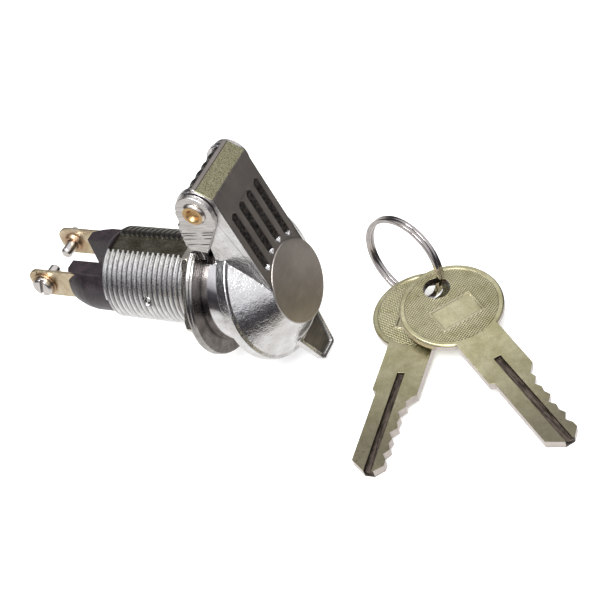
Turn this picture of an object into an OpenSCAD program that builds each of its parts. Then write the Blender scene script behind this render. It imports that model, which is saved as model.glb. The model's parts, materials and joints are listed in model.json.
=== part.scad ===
// Panel key switch with a sprung, hinged dust cover, shown with its two keys.
// The barrel lies along Y: the panel's front side faces -Y and +Z points to the
// cover's hinge. The origin is the centre of the flange's rear, panel-side face.

/* [Barrel] */
// Outside diameter of the thread
thread_d = 19; // [18.8:0.1:19.2]
// Length of the thread behind the flange
thread_len = 23.5; // [23:0.25:25]
// Pitch of the thread
thread_pitch = 1.2; // [1:0.1:1.5]
// Diameter of the chromed head in front of the flange
head_d = 23.2; // [22:0.1:23.2]
// Distance from the flange's rear face to the front of the head
head_front = 6; // [5.5:0.1:6]

/* [Flange and hinge] */
// Diameter of the flange
flange_d = 30; // [29:0.5:31]
// Thickness of the flange
flange_t = 1.45; // [1.2:0.05:1.6]
// Height of the hinge pin above the barrel's axis
hinge_z = 25.9; // [25.5:0.1:26.5]
// Distance of the hinge pin in front of the flange's rear face
hinge_front = 6.6; // [6.4:0.1:6.8]
// Thickness of each ear
ear_t = 1.1; // [0.9:0.1:1.3]
// Diameter of the hinge pin
hinge_pin_d = 3.2; // [3:0.1:3.4]

/* [Cover] */
// Angle at which the cover stands ajar
cover_open = 13.2; // [0:0.1:60]
// Diameter of the cover's round cap
cap_d = 30; // [29.5:0.5:31]
// Height of the cap from its rim to its flat face
cap_h = 8.4; // [8.3:0.1:8.6]
// Diameter of the cap's flat face
face_d = 16.8; // [16:0.2:17.2]
// Width of the cover's arm
arm_w = 14.6; // [14:0.1:14.8]
// Wall thickness of the cover casting
cover_wall = 1.3; // [1.2:0.1:1.4]
// Number of grip grooves along the arm
groove_count = 4; // [2:1:4]

/* [Lock] */
// Diameter of the turning plug
plug_d = 11.9; // [11.5:0.1:12]
// Number of wafers in the plug
wafer_count = 5; // [3:1:5]
// Distance between wafers
wafer_pitch = 2.4; // [2.2:0.1:2.5]

/* [Contacts and terminals] */
// Distance between the two terminal strips, centre to centre
strip_gap = 12.9; // [12.7:0.1:13]
// Width of a terminal strip
strip_w = 6.8; // [6:0.1:7]
// Distance from the flange's rear face to the end of the strips
strip_end = 43.6; // [42:0.2:45]
// Diameter of the terminal screws
screw_d = 2.5; // [2.4:0.1:2.6]

/* [Nut] */
// Width of the mounting nut across its flats
nut_af = 24.6; // [24:0.2:25]
// Thickness of the mounting nut
nut_t = 1.6; // [1.4:0.1:2]

/* [Keys] */
// Diameter of a key's head
key_head_d = 21; // [20:0.5:22]
// Length of a key's blade
key_blade_len = 30.5; // [29:0.5:32]
// Thickness of a key
key_t = 1.8; // [1.6:0.1:2]
// Outside diameter of the split ring
ring_d = 20; // [19.5:0.5:21]

/* [Hidden] */

$fn = 64;
eps = 0.01;
slip = 0.05;          // radial clearance of running fits
fine = 32;            // segments of small round features

thread_r = thread_d / 2;
thread_root_r = thread_r - 0.55 * thread_pitch;
relief_r = thread_r - 0.2;   // plain neck between the flange and the thread
relief_rear = 2.3;
head_r = head_d / 2;
plug_r = plug_d / 2;
plug_bore_r = plug_r + slip;
plug_lip_r = plug_r + 0.7;
plug_lip_t = 0.8;
plug_rear = 15.2;
rear_bore_r = 7.6;
rear_bore_y = 16.2;
channel_w = 5.8;      // outside channel along the top of the thread
channel_floor = 7.85;
wafer_w = 5;
wafer_t = 1;
wafer_h = 10.6;
wafer_drop = 0.9;     // how far a locked wafer drops out of the plug; drawn lifted
wafer_y0 = -2.2;
wafer_slack = 0.06;
wafer_zone = wafer_pitch * (wafer_count - 1);
spring_pocket_top = 2.4;
lug_top = 0.3;
lug_h = 0.8;
lug_reach = 3.8;
keyway_w = 2.3;
keyway_h = 7.8;
plug_pin_r = 0.6;
plug_pin_y = 12.9;
plug_pin_angle = 9.3; // degrees above the switch's side
plug_groove_depth = 0.7;

seat = 3.1;           // distance of the closed cap's rim in front of the panel face
hinge_n = hinge_front - seat;
spring_room_r = 3.85; // room for the spring inside the knuckle
cheek_r = 4.2;        // radius of the cheeks' round ends
ear_head_r = 3.9;
ear_gap = 0.2;        // side play of the cover between the ears
ear_in = arm_w / 2 + ear_gap;
ear_out = ear_in + ear_t;
ear_low_z = 16.8;
web_front = 2.9;
ear_rear = 2.5;
web_top = 22.2;
cap_r = cap_d / 2;
face_r = face_d / 2;
rim_t = 2.2;
face_step = 0.25;      // how far the round face stands up from the arm
ledge_r = cap_r - 0.8;
cone_top_r = face_r + 0.6;
cone_top_n = cap_h - 0.9;
coil_r = 3.05;
coil_wire_r = 0.6;
coil_half_w = 5.2;

housing_r = 8.65;
housing_rear = 33.3;
spigot_r = rear_bore_r - slip;
boss_gap = 6.2;
boss_gap_y = 26.5;
boss_top = 5.1;
rotor_r = 5;
rotor_front = 15.9;
rotor_rear = 22;
cavity_r = 6.1;
cavity_rear = 24.4;
index_y = 19;
index_ball_r = 0.9;
strip_t = 0.8;
strip_x = strip_gap / 2;
strip_z = 1.1;
strip_in_y = 24.4;
foot_t = 0.8;
foot_x = 3.1;
bridge_y = 23.1;
bridge_t = 0.45;
screw_y = 40;
screw_r = screw_d / 2;
screw_head_r = 2.25;
screw_tip_x = 2;
clamp_t = 0.4;
head_face_x = 8.6;

nut_gap = 0.05;
washer_t = 0.4;
nut_y = nut_gap * 2 + washer_t;

floor_z = -20;        // level that the loose keys lie on, under the cover's tab
key_head_r = key_head_d / 2;
key_hole_r = 2.7;
key_hole_u = key_head_r - 5;
neck_w = 9.4;
neck_len = 12;
blade_w = 7.6;
upper_heading = 230;  // direction of each blade, seen from above
lower_heading = 183.6;
upper_lift = 6.1;     // height of each key's hole above the level its tip lies on
lower_lift = 2.6;

// The split ring stands nearly upright: it rises from its lowest point on either side
// along ring_side and leans along ring_up. Its wire passes through both keys' holes.
ring_lean = 6.2;
ring_heading = -20.7;
ring_r = ring_d / 2 - 0.5;
ring_rest = 0.75;
upper_hole = [14.9, -38, floor_z + upper_lift + key_t / 2];
ring_side = [-sin(ring_heading), cos(ring_heading), 0];
ring_up = [sin(ring_lean) * cos(ring_heading), sin(ring_lean) * sin(ring_heading), cos(ring_lean)];
function ring_swing(lift) = acos(1 - (lift + key_t / 2 - ring_rest) / (ring_r * cos(ring_lean)));
function ring_arm(lift) = ring_r * (cos(ring_swing(lift)) * ring_up + sin(ring_swing(lift)) * ring_side);
ring_centre = upper_hole + ring_arm(upper_lift) + [1.4, -0.1, 0];
lower_hole = ring_centre - ring_arm(lower_lift) + [0.75, 0.9, 0];

module along_y() { rotate([-90, 0, 0]) children(); }
module along_front() { rotate([90, 0, 0]) children(); }
module yz_plate(x0, t) { translate([x0, 0, 0]) rotate([90, 0, 90]) linear_extrude(t) children(); }

// A solid of revolution about Y; each point of the outline is [radius, y]
module turned(outline) { rotate([-90, 0, 0]) rotate_extrude() polygon(outline); }

function thread_outline(y0, y1, pitch, crest, root) =
    let (turns = floor((y1 - y0) / pitch))
    [for (i = [0:turns - 1]) each [
        [root, y0 + pitch * (i + 0.1)],
        [crest, y0 + pitch * (i + 0.4)],
        [crest, y0 + pitch * (i + 0.75)],
        [root, y0 + pitch * (i + 1)]
    ]];

// A wire wound along Z. Its two ends can run on straight, as tangent legs.
module coil(mean_r, wire_r, height, turns, steps_per_turn = 20, mesh_sides = 8, start_leg = 0, end_leg = 0) {
    steps = ceil(turns * steps_per_turn);
    legs = concat([if (start_leg > 0) [0, -start_leg]], [for (i = [0:steps]) [i, 0]],
                  [if (end_leg > 0) [steps, end_leg]]);
    sections = len(legs);
    wire_points = [
        for (leg = legs)
            let (a = 360 * turns * leg[0] / steps, z = height * leg[0] / steps, run = leg[1])
            for (k = [0:mesh_sides - 1])
                let (b = 360 * k / mesh_sides, r = mean_r + wire_r * cos(b))
                [r * cos(a) - run * sin(a), r * sin(a) + run * cos(a), z + wire_r * sin(b)]
    ];
    side_faces = [
        for (i = [0:sections - 2]) for (k = [0:mesh_sides - 1])
            let (a = i * mesh_sides, b = (i + 1) * mesh_sides, n = (k + 1) % mesh_sides)
            [a + k, b + k, b + n, a + n]
    ];
    start_cap = [[for (k = [0:mesh_sides - 1]) k]];
    end_cap = [[for (k = [mesh_sides - 1:-1:0]) (sections - 1) * mesh_sides + k]];
    polyhedron(wire_points, concat(side_faces, start_cap, end_cap), convexity = 8);
}

module barrel() {
    outline = concat(
        [[plug_bore_r, rear_bore_y], [plug_bore_r, -head_front + plug_lip_t + 0.1],
         [plug_lip_r + slip, -head_front + plug_lip_t + 0.1], [plug_lip_r + slip, -head_front],
         [head_r - 0.7, -head_front], [head_r, -head_front + 0.7], [head_r, -flange_t],
         [relief_r, -flange_t], [relief_r, relief_rear]],
        thread_outline(relief_rear, thread_len - 0.4, thread_pitch, thread_r, thread_root_r),
        [[thread_root_r, thread_len], [rear_bore_r, thread_len], [rear_bore_r, rear_bore_y]]);
    color([0.78, 0.78, 0.8])
    difference() {
        turned(outline);
        translate([-channel_w / 2, nut_y + nut_t + 1, channel_floor])
            cube([channel_w, thread_len, thread_r]);
        translate([-wafer_w / 2 - 0.1, wafer_y0 - 0.4, -7])
            cube([wafer_w + 0.2, wafer_zone + wafer_t + 0.8, 7]);
        rotate([0, plug_pin_angle, 0]) translate([-thread_r - 1, plug_pin_y, 0]) rotate([0, 90, 0])
            cylinder(r = plug_pin_r + 0.01, h = 6, $fn = fine);
    }
}

module ear_outline() {
    translate([-hinge_front, hinge_z]) circle(ear_head_r);
    polygon([[-hinge_front + 2, hinge_z + 3.3], [-hinge_front + 4.15, hinge_z - 0.1],
             [-ear_rear, hinge_z - 2.1], [0.55 - ear_rear, ear_low_z + 1.7], [-ear_rear, ear_low_z - 0.3],
             [-6, ear_low_z - 0.8], [-10.1, hinge_z - 2.9], [-hinge_front - 4.05, hinge_z - 1.3],
             [-hinge_front - 3.6, hinge_z + 1.1]]);
}

module hinge_flange() {
    flange_r = flange_d / 2;
    color([0.72, 0.71, 0.69])
    difference() {
        union() {
            turned([[relief_r + slip, 0], [flange_r, 0], [flange_r, -0.45], [flange_r - 0.2, -0.6],
                    [flange_r - 0.2, -0.8], [flange_r, -0.95], [flange_r - 0.3, -flange_t],
                    [relief_r + slip, -flange_t]]);
            translate([-6.4, -web_front, 11.9]) cube([12.8, web_front, ear_low_z - 11.9 + eps]);
            translate([-ear_in - 0.4, -web_front, ear_low_z])
                cube([2 * ear_in + 0.8, web_front - 1.2, web_top - ear_low_z]);
            for (x = [-ear_out, ear_in]) yz_plate(x, ear_t) ear_outline();
        }
        turned([[0, -head_front], [head_r + slip, -head_front], [head_r + slip, -flange_t],
                [relief_r + slip, -flange_t], [relief_r + slip, 1], [0, 1]]);
        yz_plate(-ear_out - 1, 2 * ear_out + 2)
            translate([-hinge_front, hinge_z]) circle(hinge_pin_d / 2 + 0.01);
    }
}

module nut_washer() {
    color([0.8, 0.79, 0.76])
        turned([[thread_r + slip, nut_gap], [thread_r + 3.9, nut_gap],
                [thread_r + 3.9, nut_gap + washer_t], [thread_r + slip, nut_gap + washer_t]]);
}

module mounting_nut() {
    corner_r = nut_af / sqrt(3);
    color([0.66, 0.62, 0.5])
    difference() {
        intersection() {
            translate([0, nut_y, 0]) along_y() cylinder(r = corner_r, h = nut_t, $fn = 6);
            turned([[0, nut_y], [corner_r - 0.5, nut_y], [corner_r + 0.1, nut_y + 0.35],
                    [corner_r + 0.1, nut_y + nut_t - 0.35], [corner_r - 0.5, nut_y + nut_t],
                    [0, nut_y + nut_t]]);
        }
        translate([0, nut_y - 1, 0]) along_y() cylinder(r = thread_r + slip, h = nut_t + 2);
    }
}

// A solid pin with a dished, spread end outside each ear
module hinge_pin() {
    lip_r = hinge_pin_d / 2 + 0.8;
    end_x = ear_out + 0.6;
    color([0.8, 0.6, 0.35])
    translate([0, -hinge_front, hinge_z]) rotate([0, 90, 0]) difference() {
        union() {
            cylinder(r = hinge_pin_d / 2, h = 2 * ear_out + 0.4, center = true);
            for (side = [0, 1]) mirror([0, 0, side]) translate([0, 0, ear_out + 0.01])
                rotate_extrude()
                    polygon([[0, 0], [lip_r, 0], [lip_r, 0.25], [lip_r - 0.35, 0.59], [0, 0.59]]);
        }
        for (side = [0, 1]) mirror([0, 0, side]) translate([0, 0, end_x])
            rotate_extrude() polygon([[0, 1], [1.6, 1], [1.45, 0], [1.15, -0.35], [0.9, -0.85], [0, -1.05]]);
    }
}

// Torsion spring around the hinge pin: one leg runs down in front of the flange's web,
// the other ends under the cover's knuckle
module cover_spring() {
    color([0.3, 0.3, 0.32])
    translate([-coil_half_w, -hinge_front, hinge_z]) rotate([0, 90, 0]) rotate([0, 0, 90])
        coil(coil_r, coil_wire_r, 2 * coil_half_w, 4.25, start_leg = 8.2, end_leg = 0.8);
}

// The cover is drawn closed, with its own axes: X across, Y up the arm and Z out of
// the cap's face. place_cover() puts it on the hinge and opens it.
module place_cover() {
    translate([0, -hinge_front, hinge_z]) rotate([-cover_open, 0, 0])
        translate([0, hinge_front - seat, -hinge_z]) along_front() children();
}

function cap_inside() = [
    [0, -1], [cap_r - cover_wall, -1], [cap_r - cover_wall, rim_t - 0.8],
    [ledge_r - cover_wall, rim_t - 0.4], [cone_top_r - cover_wall, cone_top_n - 0.9],
    [face_r - cover_wall, cap_h - cover_wall], [0, cap_h - cover_wall]
];

module cap_shell() {
    rotate_extrude() polygon([
        [0, 0], [cap_r, 0], [cap_r, rim_t], [ledge_r, rim_t + 0.15], [cone_top_r, cone_top_n],
        [face_r + 0.02, cap_h - 0.2], [face_r, cap_h + face_step - 0.1],
        [face_r - 0.1, cap_h + face_step], [0, cap_h + face_step]]);
}

module cheek_outline() {
    translate([hinge_z, hinge_n]) circle(cheek_r);
    polygon([[6, cap_h], [hinge_z - 1, cap_h], [hinge_z - 1, hinge_n], [hinge_z - 3.7, hinge_n - 1.5],
             [13.6, 0], [6, 3]]);
}

// A bent wall over the hinge that carries the arm on round the spring in two flats
module knuckle_shell() {
    yz_plate(-arm_w / 2, arm_w) translate([hinge_z, hinge_n])
        polygon([[0.5, 0], [0.5, cap_h - hinge_n], [1.5, cap_h - hinge_n], [4.25, 2.25], [4.65, 1.45],
                 [3.7, 1.1]]);
}

module tab_solid() {
    root = 11.6;
    tip = 19.7;
    face_lean = 7.7;      // the tab's face rises from the cone toward the tip
    face_n = 2.72;        // where that face would meet the cap's axis
    border_h = 0.35;
    intersection() {
        translate([0, 0, -1]) linear_extrude(10)
            polygon([[-4.8, -root], [4.8, -root], [2.9, 1 - tip], [2.1, -tip], [-2.1, -tip],
                     [-2.9, 1 - tip]]);
        difference() {
            yz_plate(-8, 16)
                polygon([[-root, 2.1], [-tip + 0.5, 4], [-tip, 4.4], [-tip + 0.1, 5.2], [-tip + 0.5, 5.4],
                         [-root, 4.3]]);
            translate([0, 0, face_n]) rotate([-face_lean, 0, 0]) translate([0, 0, -border_h])
                linear_extrude(2)
                    polygon([[-3.75, -root - 1], [3.75, -root - 1], [1.95, 1 - tip], [-1.95, 1 - tip]]);
        }
    }
}

module grip_grooves() {
    groove_r = 0.98;
    groove_lift = 0.42;   // height of the cutter's axis over the arm's face
    groove_pitch = 3.3;
    groove_run_out = 0.9;
    for (i = [0:groove_count - 1]) {
        x = (i - (groove_count - 1) / 2) * groove_pitch;
        bottom = sqrt(pow(face_r + 1.25, 2) - x * x);
        top = hinge_z - 4.6;
        translate([x, bottom, cap_h + groove_lift]) rotate([-90, 0, 0]) {
            cylinder(r = groove_r, h = top - bottom, $fn = fine);
            translate([0, 0, -groove_run_out])
                cylinder(r1 = 0.3, r2 = groove_r, h = groove_run_out, $fn = fine);
            translate([0, 0, top - bottom])
                cylinder(r1 = groove_r, r2 = 0.3, h = groove_run_out, $fn = fine);
        }
    }
}

module cover() {
    color([0.42, 0.4, 0.36])
    place_cover() difference() {
        union() {
            cap_shell();
            translate([-arm_w / 2, 0, cap_h - cover_wall]) cube([arm_w, hinge_z + 0.6, cover_wall]);
            knuckle_shell();
            for (x = [-arm_w / 2, arm_w / 2 - cover_wall]) yz_plate(x, cover_wall) cheek_outline();
            tab_solid();
        }
        rotate_extrude() polygon(cap_inside());
        yz_plate(cover_wall - arm_w / 2, arm_w - 2 * cover_wall)
            translate([hinge_z, hinge_n]) circle(spring_room_r);
        yz_plate(-arm_w, 2 * arm_w) translate([hinge_z, hinge_n]) circle(hinge_pin_d / 2 + slip);
        grip_grooves();
    }
}

module cover_pad() {
    pad_front = head_front - seat + 0.05;
    color([0.12, 0.12, 0.12])
    place_cover() rotate_extrude()
        polygon([[6.9, pad_front], [10.6, pad_front], [9.5, pad_front + 1.1], [6.9, pad_front + 1.1]]);
}

module wafer_slots() {
    lug_low = lug_top - lug_h - wafer_drop - 0.3;
    for (i = [0:wafer_count - 1]) translate([0, wafer_y0 + i * wafer_pitch - wafer_slack, 0]) {
        translate([-wafer_w / 2 - wafer_slack, 0, -8])
            cube([wafer_w + 2 * wafer_slack, wafer_t + 2 * wafer_slack, 16]);
        translate([0, 0, lug_low])
            cube([lug_reach + 0.1, wafer_t + 2 * wafer_slack, spring_pocket_top - lug_low]);
    }
}

module lock_plug() {
    color([0.82, 0.79, 0.68])
    difference() {
        turned([[0, -head_front + 0.05], [plug_lip_r - 0.3, -head_front + 0.05],
                [plug_lip_r, -head_front + 0.3], [plug_lip_r, -head_front + plug_lip_t],
                [plug_r, -head_front + plug_lip_t], [plug_r, plug_pin_y - 0.7],
                [plug_r - plug_groove_depth, plug_pin_y - 0.7],
                [plug_r - plug_groove_depth, plug_pin_y + 0.7], [plug_r, plug_pin_y + 0.7],
                [plug_r, plug_rear - 1.6], [4.2, plug_rear - 1.6], [4.2, plug_rear], [0, plug_rear]]);
        translate([-keyway_w / 2, -head_front - 1, -keyway_h / 2])
            cube([keyway_w, head_front + 12.5, keyway_h]);
        turned([[0, -head_front - 1], [keyway_w / 2 + 2.2, -head_front - 1],
                [keyway_w / 2, -head_front + 0.9], [0, -head_front + 0.9]]);
        wafer_slots();
        translate([-3.5, plug_rear - 1.5, -0.85]) cube([7, 3, 1.7]);
    }
}

// Drawn lifted, as a key would hold them
module wafers() {
    color([0.8, 0.68, 0.4])
    for (i = [0:wafer_count - 1]) translate([0, wafer_y0 + i * wafer_pitch, 0]) difference() {
        union() {
            translate([-wafer_w / 2, 0, -wafer_h / 2]) cube([wafer_w, wafer_t, wafer_h]);
            translate([0, 0, lug_top - lug_h]) cube([lug_reach, wafer_t, lug_h]);
        }
        translate([-keyway_w / 2 - 0.2, -1, -2.9 - 0.15 * (i % 3)])
            cube([keyway_w + 0.4, wafer_t + 2, 6.4]);
    }
}

module wafer_springs() {
    spring_wire_r = 0.12;
    pressed_h = spring_pocket_top - lug_top - 2 * spring_wire_r - 0.1;
    color([0.6, 0.6, 0.62])
    for (i = [0:wafer_count - 1])
        translate([3.2, wafer_y0 + i * wafer_pitch + wafer_t / 2, lug_top + spring_wire_r + 0.05])
            coil(0.36, spring_wire_r, pressed_h, 3.5, 8, 5);
}

module plug_pin() {
    inner = plug_r - plug_groove_depth + 0.1;
    color([0.55, 0.55, 0.56])
    rotate([0, plug_pin_angle, 0]) translate([-thread_r + 0.35, plug_pin_y, 0]) rotate([0, 90, 0])
        cylinder(r = plug_pin_r, h = thread_r - 0.35 - inner, $fn = fine);
}

module contact_rotor() {
    color([0.88, 0.86, 0.8])
    difference() {
        union() {
            turned([[0, rotor_front], [rotor_r, rotor_front], [rotor_r, index_y - index_ball_r - 0.1],
                    [rotor_r - 0.7, index_y - index_ball_r + 0.1],
                    [rotor_r - 0.7, index_y + index_ball_r - 0.1],
                    [rotor_r, index_y + index_ball_r + 0.1], [rotor_r, rotor_rear], [0, rotor_rear]]);
            translate([-3.4, plug_rear - 1.4, -0.8]) cube([6.8, 2.5, 1.6]);
        }
        translate([0, rotor_rear - 2.6, 0]) along_y() cylinder(r = 1.6, h = 4);
    }
}

module index_ball() {
    color([0.75, 0.75, 0.78])
        translate([0, index_y, -(rotor_r - 0.55 + index_ball_r)]) sphere(r = index_ball_r);
}

module index_spring() {
    color([0.6, 0.6, 0.62])
    translate([0, index_y, -spigot_r + 0.2]) coil(0.55, 0.14, 0.62, 2, 12, 6);
}

module contact_spring() {
    color([0.6, 0.6, 0.62])
    translate([0, rotor_rear - 2.4, 0]) along_y() coil(1.2, 0.17, bridge_y - rotor_rear + 2.15, 3.5, 14, 6);
}

// Moving contact: it lies along Z in the off position and turns to lie along X
module bridge_contact() {
    color([0.8, 0.6, 0.35])
    translate([0, bridge_y, 0]) {
        translate([-1.5, 0, -5.2]) cube([3, bridge_t, 10.4]);
        for (z = [-4.4, 4.4]) translate([0, bridge_t, z]) along_y() cylinder(r = 1, h = 0.25, $fn = fine);
    }
}

module strip_outline(clear) {
    corner_r = 2.6;
    half = strip_w / 2 + clear;
    translate([strip_in_y - clear, strip_z - half])
        square([strip_end - corner_r - strip_in_y + clear, 2 * half]);
    translate([strip_end - corner_r - eps, strip_z - half + corner_r])
        square([corner_r + eps, 2 * half - 2 * corner_r]);
    for (side = [-1, 1]) translate([strip_end - corner_r, strip_z + side * (half - corner_r)])
        circle(corner_r);
}

module strip_solid(clear) {
    yz_plate(-strip_x - strip_t / 2 - clear, strip_t + 2 * clear) strip_outline(clear);
    translate([-strip_x - strip_t / 2 - clear, strip_in_y - clear, -2.2 - clear])
        cube([strip_x + strip_t / 2 - foot_x + 2 * clear, foot_t + 2 * clear, 4.4 + 2 * clear]);
}

module contact_housing() {
    color([0.13, 0.11, 0.12])
    difference() {
        turned([[0, rear_bore_y + 0.1], [spigot_r, rear_bore_y + 0.1], [spigot_r, thread_len + 0.05],
                [housing_r, thread_len + 0.05], [housing_r, 29], [housing_r - 0.35, 31],
                [housing_r - 1.2, housing_rear], [0, housing_rear]]);
        translate([-boss_gap / 2, boss_gap_y, -10]) cube([boss_gap, 10, 20]);
        translate([-10, thread_len + 0.6, boss_top]) cube([20, 12, 8]);
        for (side = [0, 1]) mirror([side, 0, 0]) translate([0, 40, 0]) along_front()
            linear_extrude(40 - boss_gap_y)
                polygon([[boss_gap / 2 - 1, -0.9], [10, -8.8], [10, -12], [boss_gap / 2 - 1, -12]]);
        translate([0, rear_bore_y, 0]) along_y() cylinder(r = rotor_r + slip, h = rotor_rear - rear_bore_y);
        translate([0, rotor_rear - eps, 0]) along_y() cylinder(r = cavity_r, h = cavity_rear - rotor_rear);
        translate([0, index_y, -rear_bore_r - 1]) cylinder(r = index_ball_r + slip, h = 5, $fn = fine);
        for (side = [0, 1]) mirror([side, 0, 0]) strip_solid(0.02);
    }
}

module terminal() {
    collar_r = 1.9;
    color([0.82, 0.72, 0.55])
    difference() {
        union() {
            strip_solid(0);
            translate([-strip_x + strip_t / 2, screw_y, strip_z]) rotate([0, 90, 0])
                cylinder(r1 = collar_r + 0.3, r2 = collar_r, h = 0.9, $fn = fine);
        }
        translate([-strip_x - 2, screw_y, strip_z]) rotate([0, 90, 0]) cylinder(r = screw_r + slip, h = 5);
        translate([-4.4, strip_in_y - 1, 0]) along_y() cylinder(r = 0.5, h = 3, $fn = fine);
    }
}

module terminal_left() { terminal(); }
module terminal_right() { mirror([1, 0, 0]) terminal(); }

module contact_rivets() {
    color([0.85, 0.85, 0.86])
    for (x = [-4.4, 4.4]) translate([x, 0, 0]) {
        translate([0, bridge_y + bridge_t + 0.32, 0]) along_y()
            cylinder(r = 1, h = strip_in_y - bridge_y - bridge_t - 0.34, $fn = fine);
        translate([0, strip_in_y - 0.05, 0]) along_y() cylinder(r = 0.48, h = foot_t, $fn = fine);
    }
}

module clamp_washer() {
    color([0.72, 0.55, 0.36])
    translate([-strip_x - strip_t / 2 - clamp_t - 0.02, screw_y, strip_z]) rotate([0, 90, 0]) difference() {
        cylinder(r = 2.7, h = clamp_t);
        translate([0, 0, -1]) cylinder(r = screw_r + slip, h = 3);
    }
}

module clamp_washer_left() { clamp_washer(); }
module clamp_washer_right() { mirror([1, 0, 0]) clamp_washer(); }

module terminal_screw() {
    head_x = strip_x + strip_t / 2 + clamp_t + 0.04;
    head_h = head_face_x - head_x;
    slot_w = 0.7;
    color([0.78, 0.75, 0.73])
    translate([-head_face_x, screw_y, strip_z]) rotate([0, 90, 0]) difference() {
        union() {
            rotate_extrude() polygon([[0, 0], [screw_head_r - 0.35, 0], [screw_head_r, 0.3],
                                      [screw_head_r, head_h], [0, head_h]]);
            rotate_extrude() polygon([[0, 0.5], [screw_r, 0.5], [screw_r, head_face_x - screw_tip_x - 0.4],
                                      [screw_r - 0.4, head_face_x - screw_tip_x],
                                      [0, head_face_x - screw_tip_x]]);
        }
        rotate([0, 0, 20]) translate([-3, -slot_w / 2, -1]) cube([6, slot_w, 1.75]);
    }
}

module terminal_screw_left() { terminal_screw(); }
module terminal_screw_right() { mirror([1, 0, 0]) terminal_screw(); }

// A key lies in its own plane: the ring hole is at the origin and the blade points along +X
module key_blade_outline() {
    shoulder = key_hole_u + key_head_r - 0.9;
    tip = key_hole_u + key_head_r + key_blade_len - 0.9;
    cut_start = shoulder + neck_len;
    cuts = 6;
    cut_pitch = (tip - cut_start - 3.5) / cuts;
    cut_depths = [0.9, 1.7, 1.2, 2, 1.4, 1.8];
    polygon(concat(
        [[key_hole_u, -neck_w / 2], [cut_start - 0.6, -neck_w / 2], [cut_start, -blade_w / 2],
         [tip - 2.2, -blade_w / 2], [tip, -0.8], [tip, 1.2], [tip - 1.6, blade_w / 2 - 0.9]],
        [for (i = [cuts - 1:-1:0]) each [
            [cut_start + (i + 0.85) * cut_pitch + 1, blade_w / 2 - cut_depths[i] * 0.55],
            [cut_start + (i + 0.35) * cut_pitch + 1, blade_w / 2 - cut_depths[i]]]],
        [[cut_start + 0.8, blade_w / 2], [cut_start, neck_w / 2], [key_hole_u, neck_w / 2]]));
}

module key_solid() {
    groove_start = key_hole_u + key_head_r + 6;
    color([0.74, 0.72, 0.58])
    difference() {
        union() {
            translate([key_hole_u, 0, 0]) rotate_extrude()
                polygon([[0, 0], [key_head_r - 0.3, 0], [key_head_r, 0.3], [key_head_r, key_t - 0.3],
                         [key_head_r - 0.3, key_t], [0, key_t]]);
            linear_extrude(key_t) key_blade_outline();
        }
        translate([0, 0, -1]) cylinder(r = key_hole_r, h = key_t + 2);
        translate([groove_start, -0.75, key_t - 0.7]) cube([key_blade_len, 1.5, 2]);
        translate([key_hole_u - 0.6, -4.4, key_t - 0.25]) cube([5.2, 8.8, 1]);
    }
}

module place_key(hole, lift, heading) {
    tip = key_hole_u + key_head_r + key_blade_len;
    translate([hole[0], hole[1], floor_z + lift]) rotate([0, asin(lift / tip), heading]) children();
}

module upper_key() { place_key(upper_hole, upper_lift, upper_heading) key_solid(); }
module lower_key() { place_key(lower_hole, lower_lift, lower_heading) key_solid(); }

// Split ring of two turns, leaning through both keys' holes
module key_ring() {
    wire_w = 1;
    half_h = 0.85;
    color([0.6, 0.6, 0.62])
    translate(ring_centre) rotate([0, ring_lean, ring_heading]) rotate([0, 90, 0])
        rotate_extrude($fn = 128) translate([ring_d / 2 - wire_w, 0]) polygon([
            [0, -half_h], [wire_w, -half_h], [wire_w, -0.06], [wire_w - 0.15, 0], [wire_w, 0.06],
            [wire_w, half_h], [0, half_h]]);
}

barrel();
hinge_flange();
nut_washer();
mounting_nut();
hinge_pin();
cover_spring();
cover();
cover_pad();
lock_plug();
wafers();
wafer_springs();
plug_pin();
contact_rotor();
index_ball();
index_spring();
contact_spring();
bridge_contact();
contact_housing();
terminal_left();
terminal_right();
contact_rivets();
clamp_washer_left();
clamp_washer_right();
terminal_screw_left();
terminal_screw_right();
key_ring();
upper_key();
lower_key();
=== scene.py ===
"""Looks of a panel key switch with a sprung dust cover, a ring and two keys."""

import json
from math import atan2, cos, degrees, hypot, pi, radians, sin, sqrt

import bmesh
import bpy
from mathutils import Matrix, Vector

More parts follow.
